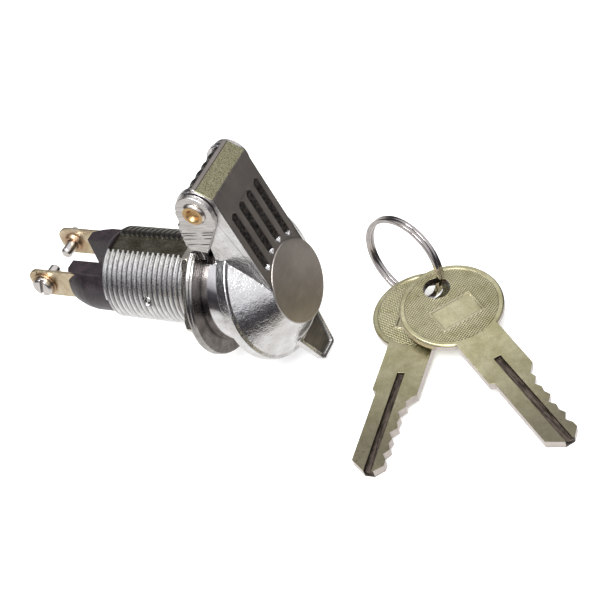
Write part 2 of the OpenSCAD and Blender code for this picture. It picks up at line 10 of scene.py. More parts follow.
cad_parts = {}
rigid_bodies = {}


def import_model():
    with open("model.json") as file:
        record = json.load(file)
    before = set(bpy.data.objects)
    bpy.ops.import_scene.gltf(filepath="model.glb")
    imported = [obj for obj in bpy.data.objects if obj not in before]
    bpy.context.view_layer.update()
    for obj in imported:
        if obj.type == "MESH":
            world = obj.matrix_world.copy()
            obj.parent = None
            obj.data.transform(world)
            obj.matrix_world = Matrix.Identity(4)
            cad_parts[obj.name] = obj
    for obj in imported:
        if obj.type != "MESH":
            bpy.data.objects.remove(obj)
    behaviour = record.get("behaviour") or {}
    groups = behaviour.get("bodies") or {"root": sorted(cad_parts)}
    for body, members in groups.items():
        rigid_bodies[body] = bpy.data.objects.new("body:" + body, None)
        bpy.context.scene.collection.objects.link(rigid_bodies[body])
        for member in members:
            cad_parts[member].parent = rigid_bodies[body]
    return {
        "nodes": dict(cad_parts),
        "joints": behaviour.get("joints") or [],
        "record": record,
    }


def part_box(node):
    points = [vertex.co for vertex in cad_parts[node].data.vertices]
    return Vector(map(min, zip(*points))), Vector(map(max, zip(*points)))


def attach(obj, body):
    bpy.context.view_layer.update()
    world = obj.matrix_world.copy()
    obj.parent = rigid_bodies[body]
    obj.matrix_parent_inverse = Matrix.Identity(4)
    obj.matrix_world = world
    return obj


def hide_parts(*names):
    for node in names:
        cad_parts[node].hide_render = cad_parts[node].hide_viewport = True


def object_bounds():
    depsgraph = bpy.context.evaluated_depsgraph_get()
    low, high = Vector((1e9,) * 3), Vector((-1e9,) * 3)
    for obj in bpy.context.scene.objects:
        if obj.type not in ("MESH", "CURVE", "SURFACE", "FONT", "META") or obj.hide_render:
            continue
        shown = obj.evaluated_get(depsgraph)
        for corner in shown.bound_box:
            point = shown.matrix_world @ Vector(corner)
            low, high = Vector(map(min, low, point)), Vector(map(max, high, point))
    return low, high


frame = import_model()
cad_low, cad_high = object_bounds()

MM = 0.001
RECORD = frame["record"]
JOINTS = {joint["name"]: joint for joint in frame["joints"]}
SLOT_OF = {part["node"]: part["material_slot"] for part in RECORD["subparts"]}
BODY_OF = {node: body for body, nodes in RECORD["behaviour"]["bodies"].items() for node in nodes}


# ---------------------------------------------------------------- node materials

class Shader:
    """A short way to write one Principled material out of nodes."""

    def __init__(self, name):
        self.material = bpy.data.materials.new(name)
        self.material.use_nodes = True
        self.tree = self.material.node_tree
        self.tree.nodes.clear()
        self.output = self.add("ShaderNodeOutputMaterial")
        self.bsdf = self.add("ShaderNodeBsdfPrincipled")
        self.tree.links.new(self.bsdf.outputs[0], self.output.inputs["Surface"])
        self.place = self.add("ShaderNodeTexCoord").outputs["Object"]

    def add(self, kind, **settings):
        node = self.tree.nodes.new(kind)
        for key, value in settings.items():
            setattr(node, key, value)
        return node

    def put(self, socket, value):
        if isinstance(value, bpy.types.NodeSocket):
            self.tree.links.new(value, socket)
        elif isinstance(value, (tuple, list)) and len(value) == 3 and socket.type == "RGBA":
            socket.default_value = (*value, 1)
        else:
            socket.default_value = value

    def math(self, operation, a, b=0.0, c=0.0):
        node = self.add("ShaderNodeMath", operation=operation)
        for socket, value in zip(node.inputs, (a, b, c)):
            self.put(socket, value)
        return node.outputs[0]

    def xyz(self):
        """The three object coordinates, in millimetres."""
        node = self.add("ShaderNodeSeparateXYZ")
        self.put(node.inputs[0], self.place)
        return [self.math("MULTIPLY", out, 1 / MM) for out in node.outputs]

    def off_axis(self, a, b):
        """Distance from an axis, out of the two coordinates across it."""
        squares = self.math("ADD", self.math("MULTIPLY", a, a), self.math("MULTIPLY", b, b))
        return self.math("SQRT", squares)

    def weighed(self, a, share_a, b, share_b):
        """a times its share plus b times its share."""
        return self.math("ADD", self.math("MULTIPLY", a, share_a), self.math("MULTIPLY", b, share_b))

    def stretched(self, per_mm):
        """Object coordinates times per_mm, so that a feature of a texture is 1/per_mm millimetres."""
        node = self.add("ShaderNodeVectorMath", operation="MULTIPLY")
        self.put(node.inputs[0], self.place)
        node.inputs[1].default_value = [value / MM for value in per_mm]
        return node.outputs[0]

    def noise(self, per_mm, detail=3.0, rough=0.55):
        if not isinstance(per_mm, (tuple, list)):
            per_mm = (per_mm, per_mm, per_mm)
        node = self.add("ShaderNodeTexNoise")
        self.put(node.inputs["Vector"], self.stretched(per_mm))
        node.inputs["Scale"].default_value = 1
        node.inputs["Detail"].default_value = detail
        node.inputs["Roughness"].default_value = rough
        return node.outputs["Fac"]

    def cells(self, per_mm):
        node = self.add("ShaderNodeTexVoronoi")
        self.put(node.inputs["Vector"], self.stretched((per_mm, per_mm, per_mm)))
        node.inputs["Scale"].default_value = 1
        return node.outputs["Distance"]

    def ramp(self, value, low, high, at_low=0.0, at_high=1.0):
        """at_low up to low, at_high from high on, and a straight line between them."""
        node = self.add("ShaderNodeMapRange", clamp=True)
        for socket, v in zip(node.inputs, (value, low, high, at_low, at_high)):
            self.put(socket, v)
        return node.outputs[0]

    def mix(self, share, a, b):
        node = self.add("ShaderNodeMix", data_type="RGBA")
        self.put(node.inputs[0], share)
        self.put(node.inputs[6], a)
        self.put(node.inputs[7], b)
        return node.outputs[2]

    def corner_shade_mask(self, reach_mm, low=0.45, high=0.95):
        """0 in corners and 1 out in the open; the looks use it to paint shade into corners."""
        node = self.add("ShaderNodeAmbientOcclusion", samples=6)
        node.inputs["Distance"].default_value = reach_mm * MM
        return self.ramp(node.outputs["AO"], low, high)

    def bump(self, *layers):
        """Each layer is (height, depth in millimetres)."""
        normal = None
        for height, depth in layers:
            node = self.add("ShaderNodeBump")
            node.inputs["Strength"].default_value = 1
            node.inputs["Distance"].default_value = depth * MM
            self.put(node.inputs["Height"], height)
            if normal:
                self.put(node.inputs["Normal"], normal)
            normal = node.outputs[0]
        self.put(self.bsdf.inputs["Normal"], normal)

    def finish(self, colour, roughness, metallic=1.0, **more):
        self.put(self.bsdf.inputs["Base Color"], colour)
        self.put(self.bsdf.inputs["Roughness"], roughness)
        self.put(self.bsdf.inputs["Metallic"], metallic)
        for name, value in more.items():
            self.put(self.bsdf.inputs[name.replace("_", " ")], value)
        return self.material


def shade(colour, amount):
    """The colour made darker or lighter."""
    return tuple(min(1.0, c * amount) for c in colour)


def plain_metal(name, colour, roughness=0.25, vary=0.12, pit=0.004, painted_shade=0.5):
    """Metal with soft tarnish, fine scratches and painted shade in its corners."""
    s = Shader(name)
    cloud = s.noise(0.5)
    tint = s.mix(s.ramp(cloud, 0.3, 0.7), shade(colour, 1 - vary), shade(colour, 1 + vary))
    # painted shade: darker in the corners
    tint = s.mix(s.corner_shade_mask(0.9), shade(colour, 1 - painted_shade), tint)
    scratch = s.noise((14, 1.2, 1.2), 2)
    rough = s.ramp(s.noise(3.0), 0.3, 0.7, roughness * 0.75, roughness * 1.35)
    s.bump((scratch, pit), (s.noise(9), pit * 0.6))
    return s.finish(tint, rough)


def plastic(name, colour, roughness, sheen):
    """Moulded plastic, clouded and dusted with the sheen's colour."""
    s = Shader(name)
    cloud = s.noise(0.35)
    tint = s.mix(s.ramp(cloud, 0.35, 0.75), colour, sheen)
    dust = s.math("MULTIPLY", s.ramp(s.noise(2.5, 5), 0.5, 0.72), 0.35)
    tint = s.mix(dust, tint, shade(sheen, 1.3))
    s.bump((s.noise(1.6), 0.02), (s.noise(14), 0.004))
    return s.finish(tint, s.ramp(s.noise(4.0), 0.3, 0.7, roughness * 0.7, roughness * 1.4), 0.0)


def thread_chrome():
    """Plated thread: bright crests, roots darkened with painted shade and runs of stain along the turns."""
    s = Shader("thread_chrome")
    x, _, z = s.xyz()
    radius = s.off_axis(x, z)
    root = s.ramp(radius, THREAD_R - 0.62, THREAD_R - 0.1)
    stain = s.ramp(s.noise((0.5, 2.2, 0.5), 4), 0.38, 0.66)
    # duller next to the channel, and darkest on the far side of it
    crest = s.mix(stain, (0.74, 0.73, 0.73), (0.97, 0.97, 0.98))
    crest = s.mix(s.ramp(x, -6.2, -3.4, 0.0, 0.6), crest, (0.36, 0.35, 0.31))
    crest = s.mix(s.ramp(x, 0.5, 5.0, 0.0, 0.8), crest, (0.16, 0.15, 0.11))
    # painted shade: the thread's roots darker than its crests
    tint = s.mix(root, (0.17, 0.165, 0.17), crest)
    rough = s.ramp(s.noise(5.0), 0.3, 0.7, 0.18, 0.42)
    s.bump((s.noise(5.0, 4), 0.02), (s.noise((18, 2, 18)), 0.006))
    return s.finish(tint, rough)


def channel_stain():
    """The flat of the channel: oily and dark."""
    s = Shader("channel_stain")
    cloud = s.ramp(s.noise((0.5, 0.3, 0.5), 4), 0.35, 0.66)
    tint = s.mix(cloud, (0.10, 0.092, 0.06), (0.23, 0.215, 0.165))
    s.bump((s.noise((2.0, 0.5, 2.0), 3), 0.02))
    return s.finish(tint, s.ramp(s.noise(3.0), 0.3, 0.7, 0.2, 0.36))


def cast_chrome():
    """The cap's cone: plated over a casting, with an orange-peel skin."""
    s = Shader("cast_chrome")
    cloud = s.noise(0.28)
    tint = s.mix(s.ramp(cloud, 0.35, 0.65), (0.70, 0.685, 0.68), (0.86, 0.855, 0.86))
    specks = s.ramp(s.noise(3.2, 5), 0.62, 0.7)
    tint = s.mix(specks, tint, (0.42, 0.40, 0.40))
    s.bump((s.noise(0.75, 2), 0.07), (s.noise(2.8, 4), 0.05))
    return s.finish(tint, s.ramp(s.noise(1.8), 0.3, 0.7, 0.10, 0.2))


def satin(name, dark, light, streak_per_mm):
    """A warm, dull, finely worn plate."""
    s = Shader(name)
    cloud = s.ramp(s.noise(0.16, 4), 0.36, 0.64)
    tint = s.mix(cloud, dark, light)
    worn = s.ramp(s.noise(streak_per_mm, 4), 0.56, 0.75)
    tint = s.mix(s.math("MULTIPLY", worn, 0.4), tint, shade(light, 1.35))
    # painted shade: darker in the corners
    tint = s.mix(s.corner_shade_mask(0.8, 0.35, 0.9), shade(dark, 0.3), tint)
    s.bump((s.noise(6.5, 4), 0.010), (s.noise((9, 0.7, 0.7)), 0.005))
    return s.finish(tint, s.ramp(s.noise(2.4, 4), 0.3, 0.7, 0.30, 0.44))


def groove_shade():
    """Inside the grip grooves: unpolished, and painted near black with the shade that falls in them."""
    s = Shader("groove_shade")
    # painted shade: the grooves' inside near black
    tint = s.mix(s.ramp(s.noise(1.6, 4), 0.35, 0.7), (0.035, 0.032, 0.03), (0.17, 0.155, 0.145))
    s.bump((s.noise(2.4, 4), 0.05), (s.noise(8), 0.02))
    return s.finish(tint, s.ramp(s.noise(3), 0.3, 0.7, 0.28, 0.5))


def knuckle_plate():
    """The flat over the hinge: an olive, sand-like skin between two near-black lines of painted shade along
    its edges.
    """
    slope_up, slope_out = 0.72, -0.694   # the way across the flat, in the cover's own axes
    middle, half_width, line_edge = -0.41, 1.74, 0.08
    s = Shader("knuckle_plate")
    _, y, z = s.xyz()
    up_arm, outward = cover_axes()
    forward, above = s.math("SUBTRACT", y, hinge.y), s.math("SUBTRACT", z, hinge.z)
    up = s.weighed(forward, up_arm.y, above, up_arm.z)
    out = s.weighed(forward, outward.y, above, outward.z)
    across_flat = s.weighed(up, slope_up, out, slope_out)
    from_middle = s.math("ABSOLUTE", s.math("SUBTRACT", across_flat, middle))
    edge = s.ramp(from_middle, half_width, half_width + line_edge)
    grit = s.ramp(s.noise(4.5, 4), 0.38, 0.62)
    tint = s.mix(grit, (0.15, 0.145, 0.08), (0.42, 0.40, 0.27))
    # painted shade: near-black lines along the flat's edges
    tint = s.mix(edge, tint, (0.03, 0.028, 0.025))
    s.bump((s.noise(4.5, 4), 0.03))
    return s.finish(tint, s.ramp(grit, 0, 1, 0.34, 0.5))


def turned_chrome(name, dark, light, roughness, lines_mm):
    """Faced on a lathe: rings about the barrel's axis."""
    s = Shader(name)
    x, _, z = s.xyz()
    radius = s.off_axis(x, z)
    ring = s.math("SINE", s.math("MULTIPLY", radius, 2 * pi / lines_mm))
    tint = s.mix(s.ramp(s.noise(0.4, 4), 0.35, 0.68), dark, light)
    # painted shade: darker in the corners
    tint = s.mix(s.corner_shade_mask(1.0, 0.3, 0.9), shade(dark, 0.3), tint)
    s.bump((ring, 0.004), (s.noise(3.0), 0.008))
    return s.finish(tint, s.ramp(s.noise(3.0), 0.3, 0.7, roughness * 0.7, roughness * 1.4))


def milled_ear():
    """Sides of the hinge ears: cutter lines that run along the barrel, four of them deep."""
    line_heights, line_slope, line_waver = (20.6, 20.0, 19.1, 17.7), 0.124, 0.3
    s = Shader("milled_ear")
    _, y, z = s.xyz()
    level = s.math("ADD", z, s.math("MULTIPLY", y, line_slope))
    level = s.math("ADD", level, s.math("MULTIPLY", s.noise(0.5), line_waver))
    deep = 0.0
    for height in line_heights:
        off = s.math("ABSOLUTE", s.math("SUBTRACT", level, height))
        deep = s.math("MAXIMUM", deep, s.ramp(off, 0.13, 0.04))
    patchy = s.ramp(s.noise((0.3, 0.35, 0.3), 3), 0.36, 0.5)
    deep = s.math("MULTIPLY", deep, patchy)
    fine_line = s.noise((0.4, 0.3, 7.0), 3)
    tint = s.mix(s.ramp(fine_line, 0.35, 0.68), (0.50, 0.475, 0.46), (0.80, 0.775, 0.76))
    tint = s.mix(deep, tint, (0.09, 0.08, 0.08))
    s.bump((fine_line, 0.02), (s.math("SUBTRACT", 1.0, deep), 0.05))
    return s.finish(tint, s.ramp(s.noise(2.0), 0.3, 0.7, 0.24, 0.4))


def terminal_brass():
    """Strip brass, browner in a ring round the screw."""
    s = Shader("terminal_brass")
    cloud = s.ramp(s.noise(0.45, 4), 0.35, 0.68)
    tint = s.mix(cloud, (0.56, 0.44, 0.27), (0.80, 0.70, 0.53))
    _, y, z = s.xyz()
    from_screw = s.off_axis(s.math("SUBTRACT", y, screw.y), s.math("SUBTRACT", z, screw.z))
    tint = s.mix(s.ramp(from_screw, 3.4, 1.8), tint, (0.50, 0.33, 0.21))
    tint = s.mix(s.ramp(s.noise(2.4, 5), 0.6, 0.74), tint, (0.30, 0.23, 0.15))
    s.bump((s.noise((1.5, 0.8, 9.0)), 0.01), (s.noise(6.0), 0.008))
    return s.finish(tint, s.ramp(s.noise(1.5), 0.3, 0.7, 0.26, 0.46))


def key_metal():
    """Nickel silver gone yellow: fine hatching inside the head's smooth rim, a plain blade."""
    pitch, cut_x, cut_y, cross_share = 0.46, 0.90, 0.44, 0.55
    s = Shader("key_metal")
    x, y, _ = s.xyz()
    from_centre = s.off_axis(s.math("SUBTRACT", x, KEY_HEAD_X), y)
    in_head = s.ramp(from_centre, KEY_FIELD_R, KEY_FIELD_R - 0.1)
    past_side = s.math("ABSOLUTE", s.math("MULTIPLY", s.math("SUBTRACT", x, KEY_FRAME_X), 1 / FRAME_HALF_X))
    past_end = s.math("ABSOLUTE", s.math("MULTIPLY", y, 1 / FRAME_HALF_Y))
    in_field = s.math("MULTIPLY", in_head, s.ramp(s.math("MAXIMUM", past_side, past_end), 1.0, 1.02))

    def cuts(along_x, along_y):
        return s.math("SINE", s.math("MULTIPLY", s.weighed(x, along_x, y, along_y), 2 * pi / pitch))

    both = s.math("ADD", cuts(cut_x, cut_y), s.math("MULTIPLY", cuts(-cut_y, cut_x), cross_share))
    hatch = s.math("MULTIPLY", both, in_field)
    cloud = s.ramp(s.noise(0.3, 4), 0.34, 0.66)
    tint = s.mix(cloud, (0.50, 0.465, 0.27), (0.72, 0.68, 0.455))
    tint = s.mix(s.math("MULTIPLY", s.ramp(hatch, 0.2, -0.9), 0.85), tint, (0.13, 0.112, 0.055))
    grit = s.ramp(s.noise(3.2, 4), 0.42, 0.62)
    tint = s.mix(s.math("MULTIPLY", grit, 0.25), tint, (0.25, 0.225, 0.12))
    # painted shade: darker toward the blade's tip
    tint = s.mix(s.ramp(x, 17, 40, 0.0, 0.9), tint, (0.155, 0.14, 0.10))
    # painted shade: darker in the corners
    tint = s.mix(s.corner_shade_mask(0.6, 0.3, 0.9), (0.09, 0.08, 0.05), tint)
    s.bump((hatch, 0.02), (s.noise((0.5, 4.0, 2.0), 3), 0.012))
    return s.finish(tint, s.ramp(s.noise(1.4, 4), 0.3, 0.7, 0.26, 0.42))


def key_groove():
    """Cut metal inside the blade's groove and on the hole's wall: brown and dull, and painted darker with the
    shade in these hollows.
    """
    s = Shader("key_groove")
    # painted shade: near black inside the groove and the hole
    tint = s.mix(s.ramp(s.noise((0.5, 5, 5), 3), 0.36, 0.64), (0.03, 0.025, 0.02), (0.15, 0.12, 0.10))
    s.bump((s.noise((0.6, 6, 6), 3), 0.02))
    return s.finish(tint, s.ramp(s.noise(2), 0.3, 0.7, 0.3, 0.5))


def dark_rubber():
    """Grained black rubber."""
    s = Shader("pad_rubber")
    tint = s.mix(s.ramp(s.noise(1.2), 0.4, 0.7), (0.02, 0.02, 0.021), (0.06, 0.058, 0.055))
    s.bump((s.cells(2.2), 0.03), (s.noise(8), 0.01))
    return s.finish(tint, s.ramp(s.noise(3), 0.3, 0.7, 0.6, 0.85), 0.0)


# ---------------------------------------------------------------- mesh helpers

def stand_in(node, mesh, looks, place=None):
    """A piece that stands for a CAD node and rides on its body, with its looks as material slots."""
    piece = bpy.data.objects.new(node + "_finish", mesh)
    bpy.context.scene.collection.objects.link(piece)
    if place:
        piece.matrix_world = place
    mesh.materials.clear()
    for look in looks:
        mesh.materials.append(MATERIALS[look])
    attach(piece, BODY_OF[node])
    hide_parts(node)
    return piece


def mesh_of(bm, name):
    mesh = bpy.data.meshes.new(name)
    bm.to_mesh(mesh)
    bm.free()
    return mesh


def mesh_from(name, points_mm, faces, smooth_angle):
    """A closed mesh from points in millimetres, welded and with its normals outward."""
    bm = bmesh.new()
    verts = [bm.verts.new([c * MM for c in point]) for point in points_mm]
    for face in faces:
        corners = list(dict.fromkeys(face))
        if len(corners) > 2:
            bm.faces.new([verts[i] for i in corners])
    bmesh.ops.remove_doubles(bm, verts=bm.verts, dist=0.0005 * MM)
    bmesh.ops.dissolve_degenerate(bm, edges=bm.edges, dist=0.0002 * MM)
    bmesh.ops.recalc_face_normals(bm, faces=bm.faces)
    mesh = mesh_of(bm, name)
    smooth(mesh, smooth_angle)
    return mesh


def smooth(mesh, angle):
    """Smooth shading, but for the edges sharper than the angle."""
    mesh.polygons.foreach_set("use_smooth", [True] * len(mesh.polygons))
    mesh.set_sharp_from_angle(angle=radians(angle))


def cad_mesh(node, name, to_local, sharp):
    """A clean copy of a CAD node's mesh, its flat faces joined again."""
    bm = bmesh.new()
    bm.from_mesh(frame["nodes"][node].data)
    if to_local:
        bm.transform(to_local)
    bmesh.ops.remove_doubles(bm, verts=bm.verts, dist=0.002 * MM)
    bmesh.ops.dissolve_limit(bm, angle_limit=radians(0.4), verts=bm.verts, edges=bm.edges)
    mesh = mesh_of(bm, name)
    if "custom_normal" in mesh.attributes:
        mesh.attributes.remove(mesh.attributes["custom_normal"])
    smooth(mesh, sharp)
    return mesh


def soften(piece, width_mm, segments, angle):
    """Worn edges: a small bevel on every edge sharper than the angle."""
    bevel = piece.modifiers.new("edges", "BEVEL")
    bevel.width = width_mm * MM
    bevel.segments = segments
    bevel.limit_method = "ANGLE"
    bevel.angle_limit = radians(angle)
    bevel.use_clamp_overlap = False
    bevel.miter_outer = "MITER_ARC"
    even = piece.modifiers.new("even", "WEIGHTED_NORMAL")
    even.keep_sharp = True


def box_mesh(low, high):
    bm = bmesh.new()
    bmesh.ops.create_cube(bm, size=1)
    size, middle = Vector(high) - Vector(low), (Vector(high) + Vector(low)) / 2
    bm.transform(Matrix.Translation(middle * MM) @ Matrix.Diagonal((*(size * MM), 1)))
    return mesh_of(bm, "box")


def disc_mesh(foot, radius, height):
    """A disc that stands on the middle of its foot."""
    bm = bmesh.new()
    bmesh.ops.create_cone(bm, cap_ends=True, segments=96, radius1=radius * MM, radius2=radius * MM,
                          depth=height * MM)
    bm.transform(Matrix.Translation((Vector(foot) + Vector((0, 0, height / 2))) * MM))
    return mesh_of(bm, "disc")


def combined(mesh, steps):
    """The mesh after a row of solid operations, each (operation, other mesh)."""
    objects = bpy.context.scene.collection.objects
    shape = bpy.data.objects.new("shape", mesh)
    objects.link(shape)
    tools = []
    for operation, other in steps:
        tool = bpy.data.objects.new("tool", other)
        objects.link(tool)
        tools.append(tool)
        step = shape.modifiers.new("step", "BOOLEAN")
        step.operation = operation
        step.object = tool
        step.solver = "EXACT"
    bpy.context.view_layer.update()
    ready = shape.evaluated_get(bpy.context.evaluated_depsgraph_get())
    result = bpy.data.meshes.new_from_object(ready)
    for spare in [shape] + tools:
        bpy.data.objects.remove(spare)
    smooth(result, 30)
    return result


def refined(node, looks, bevel_mm, paint=None, segments=2, place=None, carve=(), angle=30, sharp=30):
    """A CAD node's shape with worn edges; paint(centre, normal) picks each face's slot.

    With a place, the mesh, the carving and the paint are all in that place's own coordinates."""
    mesh = cad_mesh(node, node + "_finish", place.inverted() if place else None, sharp)
    if carve:
        mesh = combined(mesh, carve)
        mesh.name = node + "_finish"
    piece = stand_in(node, mesh, looks, place)
    if paint:
        for polygon in mesh.polygons:
            polygon.material_index = paint(polygon.center / MM, polygon.normal)
    soften(piece, bevel_mm, segments, angle)


def swept(name, path, section):
    """Sweeps a section (pairs: outward, sideways) along a path of (point, outward, sideways)."""
    points, faces, n = [], [], len(section)
    for centre, outward, sideways in path:
        for a, b in section:
            points.append(centre + outward * a + sideways * b)
    for i in range(len(path) - 1):
        for k in range(n):
            k2 = (k + 1) % n
            faces.append([i * n + k, (i + 1) * n + k, (i + 1) * n + k2, i * n + k2])
    faces.append(list(range(n)))
    faces.append([(len(path) - 1) * n + k for k in range(n)])
    return mesh_from(name, points, faces, 40)


def round_section(radius, sides):
    return [(radius * cos(2 * pi * k / sides), radius * sin(2 * pi * k / sides)) for k in range(sides)]


# ---------------------------------------------------------------- the switch's sizes, from the frame

barrel_low, barrel_high = (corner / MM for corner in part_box("barrel"))
thread_rear = barrel_high.y
head_front = barrel_low.y
HEAD_R = barrel_high.x
THREAD_R = RECORD["mounts"][1]["dims"]["r_mm"]
THREAD_PITCH = 1.2
screw = Vector(JOINTS["screw_left_turn"]["pos_m"]) / MM
hinge = Vector(JOINTS["cover_hinge"]["pos_m"]) / MM
CHANNEL_FLOOR = 7.85    # the channel along the top: its level, half its width and its front end
CHANNEL_HALF = 2.9
CHANNEL_START = 3.15
PLUG_PIN = (12.9, 9.3)  # its place along the barrel and its angle above the side
KEY_T = 1.8
KEY_HEAD_X = 5.5        # from a key's hole to the middle of its head, and to the frame's middle
KEY_FRAME_X = 7.5
KEY_FIELD_R = 9.4       # the hatched field in the head, and half of the plain frame in it
FRAME_HALF_X = 3.0
FRAME_HALF_Y = 4.8
COVER_AJAR = 13.2       # degrees that the cover stands open at rest
ARM_FACE = 4.9          # from the hinge's axis out to the arm's face
CAP_RIM_DROP = 3.5      # from the hinge's axis in to the plane of the cap's rim
CAP_DROP = 25.9         # from the hinge's axis down the arm to the cap's axis
DISC_R = 8.4            # the round face on the cap, and the clear ring that ends the grooves
GROOVE_CLEAR_R = 9.65


# ---------------------------------------------------------------- barrel

def barrel_mesh():
    """Head, flange seat and a true helical thread, with the channel along the top."""
    bore_front, bore_rear, bore_step = 6.0, 7.6, 16.2
    plug_lip, lip_depth = 6.7, 0.9
    channel_wall = 0.15
    root = THREAD_R - 0.66
    neck_r, neck_rear = THREAD_R - 0.2, 2.3
    pin_hole_r, pin_hole_floor = 0.95, THREAD_R - 0.7
    profile = [(0.0, root), (0.14, root), (0.22, root + 0.10), (0.40, THREAD_R - 0.08),
               (0.46, THREAD_R), (0.80, THREAD_R), (0.86, THREAD_R - 0.08)]
    per_turn = len(profile)
    edge = degrees(atan2(CHANNEL_HALF, sqrt(THREAD_R ** 2 - CHANNEL_HALF ** 2)))
    angles = [360 * k / 144 for k in range(144)]
    angles = sorted([a for a in angles if min(abs(a - 90 + s * edge) for s in (-1, 1)) > 0.6]
                    + [90 + s * edge + d for s in (-1, 1) for d in (-0.15, 0.15)])
    n = len(angles)
    front = [(bore_front, bore_step), (bore_front, head_front + lip_depth),
             (plug_lip, head_front + lip_depth), (plug_lip, head_front + 0.25),
             (plug_lip + 0.25, head_front), (HEAD_R - 0.8, head_front), (HEAD_R - 0.35, head_front + 0.1),
             (HEAD_R - 0.1, head_front + 0.35), (HEAD_R, head_front + 0.8), (HEAD_R, -1.6),
             (HEAD_R, -1.45), (neck_r, -1.45), (neck_r, neck_rear - 0.05)]
    rear = [(root, thread_rear), (bore_rear + 0.3, thread_rear), (bore_rear, thread_rear - 0.3),
            (bore_rear, bore_step)]
    points, rows = [], []

    def ring(radius_and_y, bore=False):
        rows.append(len(points))
        for a in angles:
            radius, y = radius_and_y(a)
            x, z = radius * cos(radians(a)), radius * sin(radians(a))
            if bore:
                z = min(z, CHANNEL_FLOOR - channel_wall)
            elif y > CHANNEL_START and abs(x) < CHANNEL_HALF:
                z = min(z, CHANNEL_FLOOR)
            if x < 0 and radius > THREAD_R - 1.5:
                off = hypot(radians(180 - PLUG_PIN[1] - a) * THREAD_R, y - PLUG_PIN[0])
                if off < pin_hole_r:
                    x, z = x * pin_hole_floor / radius, z * pin_hole_floor / radius
            points.append((x, y, z))

    for radius, y in front:
        ring(lambda a, r=radius, y=y: (r, y))
    # the turns before the neck's end and behind the barrel's end close up into a ring
    for turn in range(int(thread_rear / THREAD_PITCH) + 2):
        for share, radius in profile:
            def on_helix(a, r=radius, start=turn + share):
                y = THREAD_PITCH * (start + a / 360)
                if y <= neck_rear:
                    return neck_r, neck_rear
                if y >= thread_rear - 0.35:
                    return root, min(y, thread_rear)
                return r, y
            ring(on_helix)
    helix_first, helix_last = len(front), len(rows)
    for radius, y in rear:
        ring(lambda a, r=radius, y=y: (r, y), bore=radius < root)

    faces = []
    for i, start in enumerate(rows):
        following = rows[(i + 1) % len(rows)]
        for k in range(n - 1):
            faces.append([start + k, start + k + 1, following + k + 1, following + k])
        if helix_first <= i < helix_last - per_turn:
            faces.append([start + n - 1, rows[i + per_turn], rows[i + 1 + per_turn], following + n - 1])
        elif not helix_last - per_turn <= i < helix_last:
            faces.append([start + n - 1, start, following, following + n - 1])
    return mesh_from("barrel_finish", points, faces, 32)


def build_barrel():
    """Slots: 0 the head and its bores, 1 the thread, 2 the channel's flat."""
    mesh = barrel_mesh()
    stand_in("barrel", mesh, ["head", "thread", "channel"])
    for polygon in mesh.polygons:
        centre = polygon.center / MM
        in_channel = centre.y > CHANNEL_START + 0.05 and abs(centre.x) < CHANNEL_HALF - 0.05
        if in_channel and abs(centre.z - CHANNEL_FLOOR) < 0.05:
            polygon.material_index = 2
        else:
            polygon.material_index = 1 if centre.y > 0 else 0


def build_plug_pin():
    """The pin's end in a shallow counterbore in the thread, with a bright lip round it."""
    y, angle = PLUG_PIN
    out = Vector((-cos(radians(angle)), 0, sin(radians(angle))))
    along = Vector((0, 1, 0))
    side = out.cross(along)
    # from the middle of its domed end, over the gap and the lip, to its foot in the barrel
    outline = [(0.0, THREAD_R - 0.38), (0.40, THREAD_R - 0.34), (0.46, THREAD_R - 0.42),
               (0.52, THREAD_R - 0.72), (0.66, THREAD_R - 0.72), (0.70, THREAD_R - 0.20),
               (0.80, THREAD_R - 0.12), (0.92, THREAD_R - 0.25), (0.95, THREAD_R - 0.9),
               (0.6, THREAD_R - 1.1), (0.6, 5.4)]
    sides = 32
    points, faces = [], []
    for radius, reach in outline:
        for k in range(sides):
            a = 2 * pi * k / sides
            points.append(out * reach + along * (y + radius * cos(a)) + side * (radius * sin(a)))
    for i in range(len(outline) - 1):
        for k in range(sides):
            k2 = (k + 1) % sides
            faces.append([i * sides + k, i * sides + k2, (i + 1) * sides + k2, (i + 1) * sides + k])
    last = (len(outline) - 1) * sides
    faces.append([last + k for k in range(sides)])
    stand_in("plug_pin", mesh_from("plug_pin_finish", points, faces, 35), ["steel"])


# ---------------------------------------------------------------- spring, ring

def build_cover_spring():
    """The wound wire round the hinge pin, with its leg down the web."""
    coil_r, wire_r, half_w, turns = 3.05, 0.6, 5.2, 4.25
    leg_down, leg_front = 8.2, 0.8
    steps = 44
    path = []

    def station(turn_share, run):
        a = 2 * pi * turns * turn_share
        # starts behind the pin and winds over its top toward the front
        out = Vector((0, cos(a), sin(a)))
        way = Vector((0, -sin(a), cos(a)))
        centre = Vector((hinge.x - half_w + 2 * half_w * turn_share, hinge.y, hinge.z))
        path.append((centre + out * coil_r + way * run, out, Vector((1, 0, 0))))

    for run in (-leg_down, -leg_down * 0.5, -0.4):
        station(0, run)
    total = int(turns * steps)
    for i in range(total + 1):
        station(i / total, 0)
    station(1, leg_front)
    stand_in("cover_spring", swept("cover_spring_finish", path, round_section(wire_r, 14)), ["spring"])


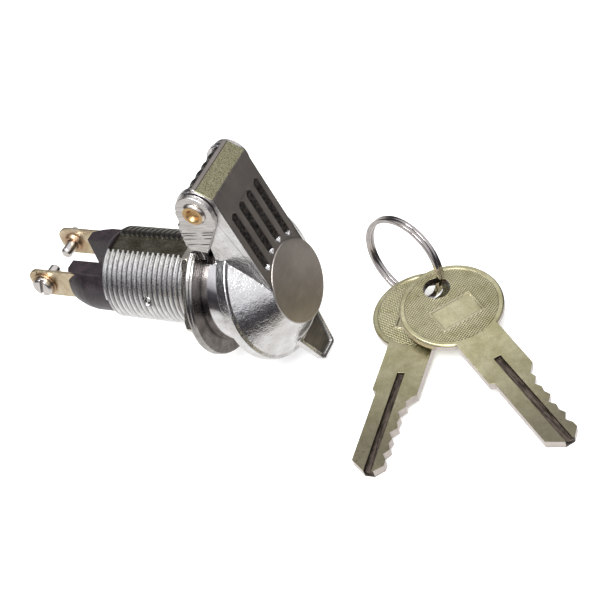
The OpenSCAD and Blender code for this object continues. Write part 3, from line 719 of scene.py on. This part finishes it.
def build_key_ring():
    """Two turns of flat-sided wire that lie against each other and cross over once."""
    low, high = (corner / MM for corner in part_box("key_ring"))
    centre = (low + high) / 2
    lean, heading, outer_r, wire_w, wire_h = 6.2, -20.7, 10.0, 1.0, 0.82
    turned = Matrix.Rotation(radians(heading), 3, "Z") @ Matrix.Rotation(radians(lean), 3, "Y")
    axis = turned @ Vector((1, 0, 0))
    up = turned @ Vector((0, 0, 1))
    side = turned @ Vector((0, 1, 0))
    corner = 0.16
    section = []
    for sx, sy, first in ((1, 1, 0), (-1, 1, 90), (-1, -1, 180), (1, -1, 270)):
        for k in range(4):
            a = radians(first + 30 * k)
            section.append((sx * (wire_w / 2 - corner) + corner * cos(a),
                            sy * (wire_h / 2 - corner) + corner * sin(a)))
    # in degrees: the gap between the ends, half the stretch where a turn crosses over, and the start
    gap, cross, start_at = 7, 26, 205
    path, steps, turn_pitch = [], 200, 0.86
    for i in range(steps + 1):
        turn = (720 - gap) * i / steps
        step = min(1, max(0, (turn - (360 - cross)) / (2 * cross)))
        lift = (step * step * (3 - 2 * step) - 0.5) * turn_pitch
        a = radians(start_at + turn)
        out = up * cos(a) + side * sin(a)
        path.append((centre + out * (outer_r - wire_w / 2) + axis * lift, out, axis))
    stand_in("key_ring", swept("key_ring_finish", path, section), ["ring"])


# ---------------------------------------------------------------- keys

def key_place(joint_name):
    """From a key's own plane, hole at the origin and blade along X, to its place."""
    joint = JOINTS[joint_name]
    up = Vector(joint["axis"]).normalized()
    level = Vector((up.x, up.y, 0)).normalized()
    along = (level - up * level.dot(up)).normalized()
    side = up.cross(along)
    turn = Matrix((along, side, up)).transposed().to_4x4()
    return Matrix.Translation(Vector(joint["pos_m"])) @ turn


def paint_key(centre, normal):
    """0 is the flat metal, 1 the bright cut edges, 2 the groove and the hole's wall."""
    in_groove = centre.x > KEY_HEAD_X + 14 and abs(centre.y) < 0.8 and 0.2 < centre.z < KEY_T - 0.14
    in_hole = centre.xy.length < 2.75
    if in_groove or in_hole:
        return 2
    return 1 if abs(normal.z) < 0.6 else 0


def build_key(node, joint_name):
    """The head's field sinks inside a rim, and four bars frame its plain middle."""
    sunk, bar, bar_drop = 0.16, 0.38, 0.01
    inner_x, inner_y = FRAME_HALF_X - 0.4, FRAME_HALF_Y - 0.4
    carve = [("DIFFERENCE", disc_mesh((KEY_HEAD_X, 0, KEY_T - sunk), KEY_FIELD_R, 2))]

    def add_bar(low_x, low_y, high_x, high_y):
        low = (KEY_FRAME_X + low_x, low_y, KEY_T - 0.5)
        high = (KEY_FRAME_X + high_x, high_y, KEY_T - bar_drop)
        carve.append(("UNION", box_mesh(low, high)))

    add_bar(-inner_x - bar, -inner_y - bar, -inner_x, inner_y + bar)
    add_bar(inner_x, -inner_y - bar, inner_x + bar, inner_y + bar)
    add_bar(-inner_x - bar, -inner_y - bar, inner_x + bar, -inner_y)
    add_bar(-inner_x - bar, inner_y, inner_x + bar, inner_y + bar)
    looks = ["key", "key_edge", "key_groove"]
    refined(node, looks, 0.07, paint_key, place=key_place(joint_name), carve=carve)


# ---------------------------------------------------------------- materials by part

def make_materials():
    """Every look of the object by a short name."""
    return {
        "head": turned_chrome("turned_head", (0.66, 0.64, 0.65), (0.88, 0.87, 0.89), 0.08, 0.5),
        "turned": turned_chrome("turned_rim", (0.36, 0.345, 0.33), (0.58, 0.56, 0.55), 0.16, 0.5),
        "face": turned_chrome("turned_face", (0.13, 0.115, 0.105), (0.27, 0.24, 0.225), 0.26, 0.7),
        "thread": thread_chrome(), "cast": cast_chrome(), "ear": milled_ear(),
        "satin": satin("satin_arm", (0.29, 0.26, 0.24), (0.35, 0.315, 0.29), (2.5, 0.25, 0.25)),
        "disc": satin("satin_disc", (0.44, 0.395, 0.36), (0.56, 0.51, 0.465), (0.3, 2.2, 2.2)),
        "tab": satin("satin_tab", (0.15, 0.138, 0.12), (0.27, 0.25, 0.22), (0.25, 2.0, 2.0)),
        "channel": channel_stain(), "groove": groove_shade(), "knuckle": knuckle_plate(),
        "terminal": terminal_brass(), "key": key_metal(), "key_groove": key_groove(), "pad": dark_rubber(),
        "key_edge": plain_metal("key_edge", (0.72, 0.655, 0.62), 0.3, painted_shade=0.35),
        "rivet_lip": plain_metal("rivet_lip", (0.80, 0.74, 0.68), 0.2),
        "spring": plain_metal("spring_steel", (0.17, 0.165, 0.16), 0.26),
        "ring": plain_metal("ring_steel", (0.50, 0.465, 0.455), 0.14, pit=0.0006, painted_shade=0.5),
        "nut": plain_metal("nut_zinc", (0.68, 0.64, 0.55), 0.26),
        "steel": plain_metal("plain_steel", (0.62, 0.61, 0.60), 0.3),
        "rivet": plain_metal("rivet_brass", (0.60, 0.40, 0.20), 0.36),
        "nickel": plain_metal("plug_nickel", (0.72, 0.70, 0.64), 0.24),
        "screw": plain_metal("screw_nickel", (0.74, 0.70, 0.68), 0.22),
        "washer": plain_metal("washer_bronze", (0.60, 0.43, 0.28), 0.32),
        "contact": plain_metal("contact_silver", (0.80, 0.80, 0.81), 0.2),
        "brass": plain_metal("wafer_brass", (0.74, 0.56, 0.30), 0.28),
        "housing": plastic("housing_phenolic", (0.009, 0.007, 0.009), 0.3, (0.030, 0.020, 0.025)),
        "rotor": plastic("rotor_plastic", (0.72, 0.69, 0.60), 0.5, (0.80, 0.78, 0.70)),
    }


# The look of each of the record's material slots, for the CAD nodes that stay as they are
LOOK_OF_SLOT = {
    "barrel_chrome": "thread", "flange_chrome": "turned", "cover_chrome": "satin", "steel": "steel",
    "spring_steel": "spring", "nut_zinc": "nut", "brass": "brass", "nickel": "nickel", "rubber": "pad",
    "white_plastic": "rotor", "black_phenolic": "housing", "strip_brass": "terminal",
    "contact_silver": "contact", "washer_bronze": "washer", "screw_nickel": "screw",
    "ring_steel": "ring", "key_nickel": "key",
}


def paint_cad_nodes():
    for node, piece in frame["nodes"].items():
        piece.data.materials.clear()
        piece.data.materials.append(MATERIALS[LOOK_OF_SLOT[SLOT_OF[node]]])


# ---------------------------------------------------------------- cover

def cover_axes():
    """The cover's own axes at rest: up the arm and out of its face."""
    a = radians(COVER_AJAR)
    return Vector((0, sin(a), cos(a))), Vector((0, -cos(a), sin(a)))


def groove_foot(across):
    """How far up the arm from the hinge a groove's even part ends, above the round face."""
    return sqrt(GROOVE_CLEAR_R ** 2 - across ** 2) - CAP_DROP


def paint_cover(centre, normal):
    """0 cast cone and sides, 1 dull arm, 2 round face, 3 grooves, 4 knuckle, 5 the tab's sunk face."""
    up_arm, outward = cover_axes()
    across, up, out = centre.x, (centre - hinge).dot(up_arm), (centre - hinge).dot(outward)
    facing, rising = normal.dot(outward), normal.dot(up_arm)
    from_cap = hypot(across, up + CAP_DROP)
    on_disc_edge = out > ARM_FACE - 0.15 and DISC_R - 0.2 < from_cap < DISC_R + 0.1
    if out > ARM_FACE + 0.03 or on_disc_edge:
        return 2
    if facing > 0.99 and abs(out - ARM_FACE) < 0.04:
        return 1
    on_knuckle = up > 1.4 and out > 0 and abs(normal.x) < 0.3
    if on_knuckle and rising > 0.5 and facing > 0.2:
        return 4 if facing > 0.6 else 1
    in_grooves = abs(across) < 6.2 and -21 < up < -3.4 and ARM_FACE - 0.75 < out < ARM_FACE
    if in_grooves and facing > 0:
        return 3 if up > groove_foot(across) else 0
    down = -up - CAP_DROP
    tab_face = 2.37 + 0.135 * down - CAP_RIM_DROP
    if down > 11.6 and facing > 0.95 and abs(out - tab_face) < 0.12:
        return 5
    return 0


def build_cover():
    looks = ["cast", "satin", "disc", "groove", "knuckle", "tab"]
    refined("cover", looks, 0.16, paint_cover, 3, angle=42, sharp=14)


def paint_flange(centre, normal):
    """0 rim, 1 ears and web, 2 the disc's front face."""
    ears_foot, disc_front = 16.9, -1.4
    if centre.z > ears_foot:
        return 1
    return 2 if normal.y < -0.9 and centre.y < disc_front else 0


def paint_pin(centre, normal):
    """0 the dished middle, 1 the spread lip."""
    cup_r = 1.5
    return 1 if hypot(centre.y - hinge.y, centre.z - hinge.z) > cup_r else 0


# ---------------------------------------------------------------- stage

# Which way is up in the room that the chrome mirrors, and the room's colour by height, from -1 to 1
ROOM_UP = (-0.12, -0.30, 0.94)
ROOM_LEVELS = (
    (-1.0, (0.95, 0.94, 0.92)), (-0.42, (0.82, 0.81, 0.79)), (-0.27, (0.62, 0.61, 0.60)),
    (-0.20, (0.09, 0.082, 0.08)), (0.10, (0.04, 0.038, 0.045)), (0.30, (0.09, 0.088, 0.10)),
    (0.46, (0.62, 0.62, 0.64)), (0.62, (0.90, 0.90, 0.92)), (1.0, (0.95, 0.95, 0.96)),
)


def build_floor():
    """A plain pale sheet under the keys."""
    level = cad_low.z / MM - 0.02
    reach = 900
    corners = [(-reach, -reach, level), (reach, -reach, level), (reach, reach, level), (-reach, reach, level)]
    mesh = bpy.data.meshes.new("floor")
    mesh.from_pydata([[c * MM for c in p] for p in corners], [], [[0, 1, 2, 3]])
    floor = bpy.data.objects.new("floor", mesh)
    bpy.context.scene.collection.objects.link(floor)
    s = Shader("floor_paper")
    grain = s.ramp(s.noise(0.02), 0.3, 0.7)
    s.finish(s.mix(grain, (0.93, 0.93, 0.93), (0.96, 0.96, 0.96)), 0.9, 0.0)
    s.put(s.bsdf.inputs["Specular IOR Level"], 0.0)
    s.put(s.bsdf.inputs["Emission Color"], (1, 1, 1))
    s.put(s.bsdf.inputs["Emission Strength"], 0.35)
    mesh.materials.append(s.material)
    floor.visible_glossy = False


def build_world():
    """White behind the object. Mirrored, it is a soft box above, a dim room round about and
    the pale sheet below, on a level that leans toward the front as the switch leans on its cover."""
    world = bpy.data.worlds.new("studio")
    bpy.context.scene.world = world
    world.use_nodes = True
    tree = world.node_tree
    tree.nodes.clear()
    new, link = tree.nodes.new, tree.links.new
    output, place = new("ShaderNodeOutputWorld"), new("ShaderNodeTexCoord")
    path, tilt, ramp = new("ShaderNodeLightPath"), new("ShaderNodeVectorMath"), new("ShaderNodeValToRGB")
    half, plain, mirrored = new("ShaderNodeMath"), new("ShaderNodeBackground"), new("ShaderNodeBackground")
    mix = new("ShaderNodeMixShader")
    plain.inputs[0].default_value = (1, 1, 1, 1)
    plain.inputs[1].default_value = 1.0
    tilt.operation = "DOT_PRODUCT"
    tilt.inputs[1].default_value = Vector(ROOM_UP).normalized()
    half.operation = "MULTIPLY_ADD"
    half.inputs[1].default_value = 0.5
    half.inputs[2].default_value = 0.5
    while len(ramp.color_ramp.elements) < len(ROOM_LEVELS):
        ramp.color_ramp.elements.new(0.5)
    for element, (height, colour) in zip(ramp.color_ramp.elements, ROOM_LEVELS):
        element.position = (height + 1) / 2
        element.color = (*colour, 1)
    link(place.outputs["Generated"], tilt.inputs[0])
    link(tilt.outputs["Value"], half.inputs[0])
    link(half.outputs[0], ramp.inputs[0])
    link(ramp.outputs[0], mirrored.inputs[0])
    link(path.outputs["Is Glossy Ray"], mix.inputs[0])
    link(plain.outputs[0], mix.inputs[1])
    link(mirrored.outputs[0], mix.inputs[2])
    link(mix.outputs[0], output.inputs[0])


def build_light(name, place_mm, target_mm, size_mm, watts):
    """A soft box that the camera doesn't see."""
    data = bpy.data.lights.new(name, "AREA")
    data.shape = "RECTANGLE"
    data.size, data.size_y = size_mm[0] * MM, size_mm[1] * MM
    data.energy = watts
    lamp = bpy.data.objects.new(name, data)
    bpy.context.scene.collection.objects.link(lamp)
    lamp.location = Vector(place_mm) * MM
    lamp.rotation_mode = "QUATERNION"
    lamp.rotation_quaternion = (Vector(target_mm) - Vector(place_mm)).to_track_quat("-Z", "Y")
    lamp.visible_camera = False


def build_camera():
    """The viewpoint of the picture: above, to the left and in front, rolled a little."""
    azimuth, elevation, roll = -52.8561, 40.9037, -20.7117
    place_mm = (-172.83, -147.0, 184.11)
    data = bpy.data.cameras.new("camera")
    data.sensor_width = 36
    data.lens = 86.97
    data.clip_start, data.clip_end = 0.01, 20
    camera = bpy.data.objects.new("camera", data)
    bpy.context.scene.collection.objects.link(camera)
    turn = (Matrix.Rotation(radians(azimuth), 4, "Z") @ Matrix.Rotation(radians(90 - elevation), 4, "X")
            @ Matrix.Rotation(radians(roll), 4, "Z"))
    camera.matrix_world = Matrix.Translation(Vector(place_mm) * MM) @ turn
    bpy.context.scene.camera = camera


# ---------------------------------------------------------------- build

MATERIALS = make_materials()
paint_cad_nodes()
build_barrel()
build_cover()
build_cover_spring()
build_plug_pin()
refined("hinge_flange", ["turned", "ear", "face"], 0.12, paint_flange)
refined("mounting_nut", ["nut"], 0.1)
refined("hinge_pin", ["rivet", "rivet_lip"], 0.08, paint_pin)
refined("contact_housing", ["housing"], 0.2)
for side_name in ("left", "right"):
    refined("terminal_" + side_name, ["terminal"], 0.12)
    refined("terminal_screw_" + side_name, ["screw"], 0.07)
    refined("clamp_washer_" + side_name, ["washer"], 0.06)
build_key_ring()
build_key("upper_key", "upper_key_swing")
build_key("lower_key", "lower_key_swing")
build_floor()
build_world()
build_light("key_light", (-260, -120, 420), (0, 0, 0), (220, 220), 2.2)
build_light("fill_light", (-60, 60, 420), (0, 10, 0), (120, 120), 1.0)
build_camera()
bpy.context.scene.view_settings.view_transform = "Standard"
